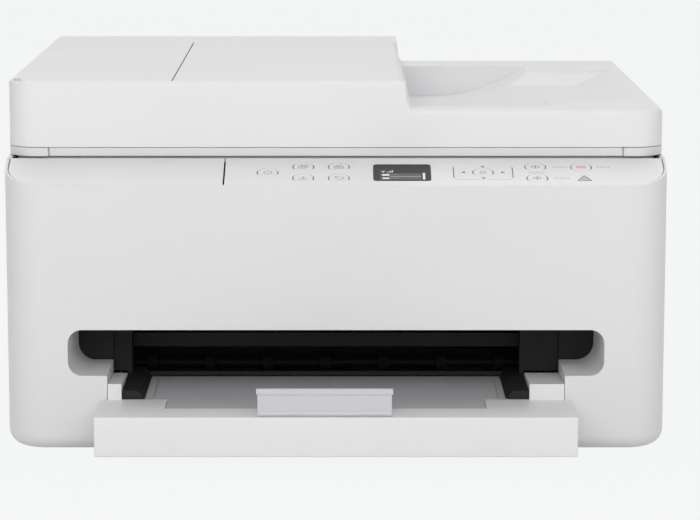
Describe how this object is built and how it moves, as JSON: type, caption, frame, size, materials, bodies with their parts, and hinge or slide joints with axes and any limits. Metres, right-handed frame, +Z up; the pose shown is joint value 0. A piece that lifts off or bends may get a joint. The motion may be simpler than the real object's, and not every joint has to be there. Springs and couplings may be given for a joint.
{
  "type": "multifunction printer",
  "caption": "Home office inkjet printer with paper cassette, flatbed scanner, document feeder and a sloping control panel.",
  "frame": {"origin": "on the ground, in the middle of the whole footprint, the cassette's bar included", "axes": "+X to the right seen from the front, +Y from the front to the back, +Z up"},
  "size_m": [0.373, 0.405, 0.2075],
  "materials": {
    "white_plastic": "fine satin moulding",
    "key_plastic": "satin",
    "dark_plastic": "fine matt moulding",
    "grey_plastic": "satin",
    "steel": "zinc plated sheet",
    "rubber": "matt",
    "glass": "clear",
    "display": "glossy",
    "circuit_board": "lacquered",
    "lamp_lens": "clear moulding",
    "foam": "matt film on foam",
    "ink_tank": "glossy",
    "brass": "turned"
  },
  "bodies": {
    "printer_body": {"outer_shell": "white_plastic", "case_screws": "steel", "rubber_feet": "rubber", "left_panel": "white_plastic", "control_panel": "white_plastic", "control_board": "circuit_board", "display_window": "display", "alarm_lens": "lamp_lens", "base_frame": "dark_plastic", "output_frame": "dark_plastic", "engine_frame": "steel", "platen": "dark_plastic", "drive_motors": "steel", "timing_belt": "rubber", "main_board": "circuit_board", "power_supply": "dark_plastic", "power_inlet": "dark_plastic", "signal_ports": "dark_plastic"},
    "power_key": {"power_button": "key_plastic"},
    "mode_key_1": {"mode_button_1": "key_plastic"},
    "mode_key_2": {"mode_button_2": "key_plastic"},
    "mode_key_3": {"mode_button_3": "key_plastic"},
    "mode_key_4": {"mode_button_4": "key_plastic"},
    "black_start_key": {"black_start_button": "key_plastic"},
    "colour_start_key": {"colour_start_button": "key_plastic"},
    "stop_key": {"stop_button": "key_plastic"},
    "ok_key": {"ok_button": "key_plastic"},
    "nav_gimbal": {"nav_gimbal": "key_plastic"},
    "nav_pad": {"nav_pad": "key_plastic"},
    "cassette": {"cassette_tray": "white_plastic", "cassette_lid": "grey_plastic"},
    "stopper": {"stopper_flap": "white_plastic"},
    "left_guide": {"paper_guide_left": "grey_plastic"},
    "right_guide": {"paper_guide_right": "grey_plastic"},
    "end_guide": {"paper_end_guide": "grey_plastic"},
    "feed_roller": {"feed_roller": "rubber"},
    "eject_roller": {"eject_roller": "rubber"},
    "carriage": {"print_carriage": "dark_plastic", "ink_cartridges": "ink_tank"},
    "motor_pulley": {"motor_pulley": "brass"},
    "cap_sled": {"cap_unit": "dark_plastic"},
    "pickup_arm": {"pickup_arm": "dark_plastic"},
    "pickup_roller": {"pickup_roller": "rubber"},
    "jam_cover": {"jam_cover": "white_plastic"},
    "scanner": {"scanner_frame": "white_plastic", "scanner_tub": "dark_plastic", "cis_rod": "steel", "scanner_glass": "glass"},
    "scanner_stay": {"scanner_stay": "steel"},
    "sensor_bar": {"cis_bar": "dark_plastic"},
    "cover": {"adf_housing": "white_plastic", "cover_base": "white_plastic", "document_pad": "foam"},
    "document_tray": {"document_tray": "white_plastic"},
    "feeder_cover": {"feeder_cover": "white_plastic"},
    "adf_feed_roller": {"adf_feed_roller": "rubber"},
    "adf_pickup_roller": {"adf_pickup_roller": "rubber"},
    "adf_exit_roller": {"adf_exit_roller": "rubber"},
    "front_document_guide": {"document_guide_front": "white_plastic"},
    "rear_document_guide": {"document_guide_rear": "white_plastic"}
  },
  "joints": [
    {"name": "power_key_press", "type": "slide", "parent": "printer_body", "child": "power_key", "axis": [0, 0.3204, -0.9473], "range_m": [0, 0.0007], "stiffness_N_per_m": 400},
    {"name": "mode_key_1_press", "type": "slide", "parent": "printer_body", "child": "mode_key_1", "axis": [0, 0.3204, -0.9473], "range_m": [0, 0.0007], "stiffness_N_per_m": 400},
    {"name": "mode_key_2_press", "type": "slide", "parent": "printer_body", "child": "mode_key_2", "axis": [0, 0.3204, -0.9473], "range_m": [0, 0.0007], "stiffness_N_per_m": 400},
    {"name": "mode_key_3_press", "type": "slide", "parent": "printer_body", "child": "mode_key_3", "axis": [0, 0.3204, -0.9473], "range_m": [0, 0.0007], "stiffness_N_per_m": 400},
    {"name": "mode_key_4_press", "type": "slide", "parent": "printer_body", "child": "mode_key_4", "axis": [0, 0.3204, -0.9473], "range_m": [0, 0.0007], "stiffness_N_per_m": 400},
    {"name": "black_start_key_press", "type": "slide", "parent": "printer_body", "child": "black_start_key", "axis": [0, 0.3204, -0.9473], "range_m": [0, 0.0007], "stiffness_N_per_m": 400},
    {"name": "colour_start_key_press", "type": "slide", "parent": "printer_body", "child": "colour_start_key", "axis": [0, 0.3204, -0.9473], "range_m": [0, 0.0007], "stiffness_N_per_m": 400},
    {"name": "stop_key_press", "type": "slide", "parent": "printer_body", "child": "stop_key", "axis": [0, 0.3204, -0.9473], "range_m": [0, 0.0007], "stiffness_N_per_m": 400},
    {"name": "ok_key_press", "type": "slide", "parent": "printer_body", "child": "ok_key", "axis": [0, 0.3204, -0.9473], "range_m": [0, 0.0007], "stiffness_N_per_m": 400},
    {"name": "nav_tilt_up_down", "type": "hinge", "parent": "printer_body", "child": "nav_gimbal", "pos_m": [0.0826, -0.13715, 0.15457], "axis": [1, 0, 0], "range_deg": [-2.2, 2.2], "stiffness_Nm_per_rad": 0.05},
    {"name": "nav_tilt_left_right", "type": "hinge", "parent": "nav_gimbal", "child": "nav_pad", "pos_m": [0.0826, -0.13715, 0.15457], "axis": [0, 0.9473, 0.3204], "range_deg": [-2.2, 2.2], "stiffness_Nm_per_rad": 0.05},
    {"name": "cassette_slide", "type": "slide", "parent": "printer_body", "child": "cassette", "axis": [0, -1, 0], "range_m": [0, 0.25]},
    {"name": "stopper_fold", "type": "hinge", "parent": "cassette", "child": "stopper", "pos_m": [-0.0062, -0.1975, 0.0325], "axis": [-1, 0, 0], "range_deg": [0, 90]},
    {"name": "left_guide_slide", "type": "slide", "parent": "cassette", "child": "left_guide", "axis": [1, 0, 0], "range_m": [0, 0.05]},
    {"name": "right_guide_slide", "type": "slide", "parent": "cassette", "child": "right_guide", "axis": [1, 0, 0], "range_m": [-0.05, 0]},
    {"name": "end_guide_slide", "type": "slide", "parent": "cassette", "child": "end_guide", "axis": [0, 1, 0], "range_m": [0, 0.09]},
    {"name": "feed_roller_spin", "type": "hinge", "parent": "printer_body", "child": "feed_roller", "pos_m": [0, -0.0145, 0.037], "axis": [1, 0, 0], "continuous": true},
    {"name": "eject_roller_spin", "type": "hinge", "parent": "printer_body", "child": "eject_roller", "pos_m": [0, -0.0755, 0.037], "axis": [1, 0, 0], "continuous": true},
    {"name": "carriage_slide", "type": "slide", "parent": "printer_body", "child": "carriage", "axis": [1, 0, 0], "range_m": [-0.24, 0]},
    {"name": "motor_pulley_spin", "type": "hinge", "parent": "printer_body", "child": "motor_pulley", "pos_m": [0.15, 0.0215, 0.0935], "axis": [0, 0, 1], "continuous": true},
    {"name": "cap_lift", "type": "slide", "parent": "printer_body", "child": "cap_sled", "axis": [0, 0, 1], "range_m": [0, 0.0016]},
    {"name": "pickup_arm_lift", "type": "hinge", "parent": "printer_body", "child": "pickup_arm", "pos_m": [-0.006, 0.0335, 0.043], "axis": [1, 0, 0], "range_deg": [0, 12]},
    {"name": "pickup_roller_spin", "type": "hinge", "parent": "pickup_arm", "child": "pickup_roller", "pos_m": [-0.006, 0.0775, 0.0203], "axis": [1, 0, 0], "continuous": true},
    {"name": "jam_cover_swing", "type": "hinge", "parent": "printer_body", "child": "jam_cover", "pos_m": [0, 0.1995, 0.0514], "axis": [-1, 0, 0], "range_deg": [0, 90]},
    {"name": "scanner_lift", "type": "hinge", "parent": "printer_body", "child": "scanner", "pos_m": [0, 0.1975, 0.165], "axis": [-1, 0, 0], "range_deg": [0, 45]},
    {"name": "scanner_stay_swing", "type": "hinge", "parent": "scanner", "child": "scanner_stay", "pos_m": [0.1775, 0.0455, 0.154], "axis": [-1, 0, 0], "range_deg": [0, 45]},
    {"name": "sensor_bar_slide", "type": "slide", "parent": "scanner", "child": "sensor_bar", "axis": [1, 0, 0], "range_m": [0, 0.3]},
    {"name": "cover_lift", "type": "hinge", "parent": "scanner", "child": "cover", "pos_m": [0, 0.1955, 0.1772], "axis": [-1, 0, 0], "range_deg": [0, 75]},
    {"name": "document_tray_swing", "type": "hinge", "parent": "cover", "child": "document_tray", "pos_m": [0.0345, 0.0101, 0.202], "axis": [0, 1, 0], "range_deg": [0, 150]},
    {"name": "feeder_cover_swing", "type": "hinge", "parent": "cover", "child": "feeder_cover", "pos_m": [-0.1835, 0.0101, 0.2045], "axis": [0, -1, 0], "range_deg": [0, 80]},
    {"name": "adf_feed_roller_spin", "type": "hinge", "parent": "cover", "child": "adf_feed_roller", "pos_m": [-0.152, 0.0101, 0.187], "axis": [0, 1, 0], "continuous": true},
    {"name": "adf_pickup_roller_spin", "type": "hinge", "parent": "cover", "child": "adf_pickup_roller", "pos_m": [-0.112, 0.0101, 0.1955], "axis": [0, 1, 0], "continuous": true},
    {"name": "adf_exit_roller_spin", "type": "hinge", "parent": "cover", "child": "adf_exit_roller", "pos_m": [-0.118, 0.0101, 0.1782], "axis": [0, 1, 0], "continuous": true},
    {"name": "front_guide_slide", "type": "slide", "parent": "cover", "child": "front_document_guide", "axis": [0, 1, 0], "range_m": [0, 0.05]},
    {"name": "rear_guide_slide", "type": "slide", "parent": "cover", "child": "rear_document_guide", "axis": [0, 1, 0], "range_m": [-0.05, 0]}
  ],
  "couplings": [
    {"joint": "right_guide_slide", "follows": "left_guide_slide", "ratio": -1},
    {"joint": "eject_roller_spin", "follows": "feed_roller_spin", "ratio": 1.1818},
    {"joint": "motor_pulley_spin", "follows": "carriage_slide", "rad_per_m": 166.67},
    {"joint": "scanner_stay_swing", "follows": "scanner_lift", "ratio": 1},
    {"joint": "adf_pickup_roller_spin", "follows": "adf_feed_roller_spin", "ratio": 1.75},
    {"joint": "adf_exit_roller_spin", "follows": "adf_feed_roller_spin", "ratio": 2.3333},
    {"joint": "rear_guide_slide", "follows": "front_guide_slide", "ratio": -1}
  ]
}
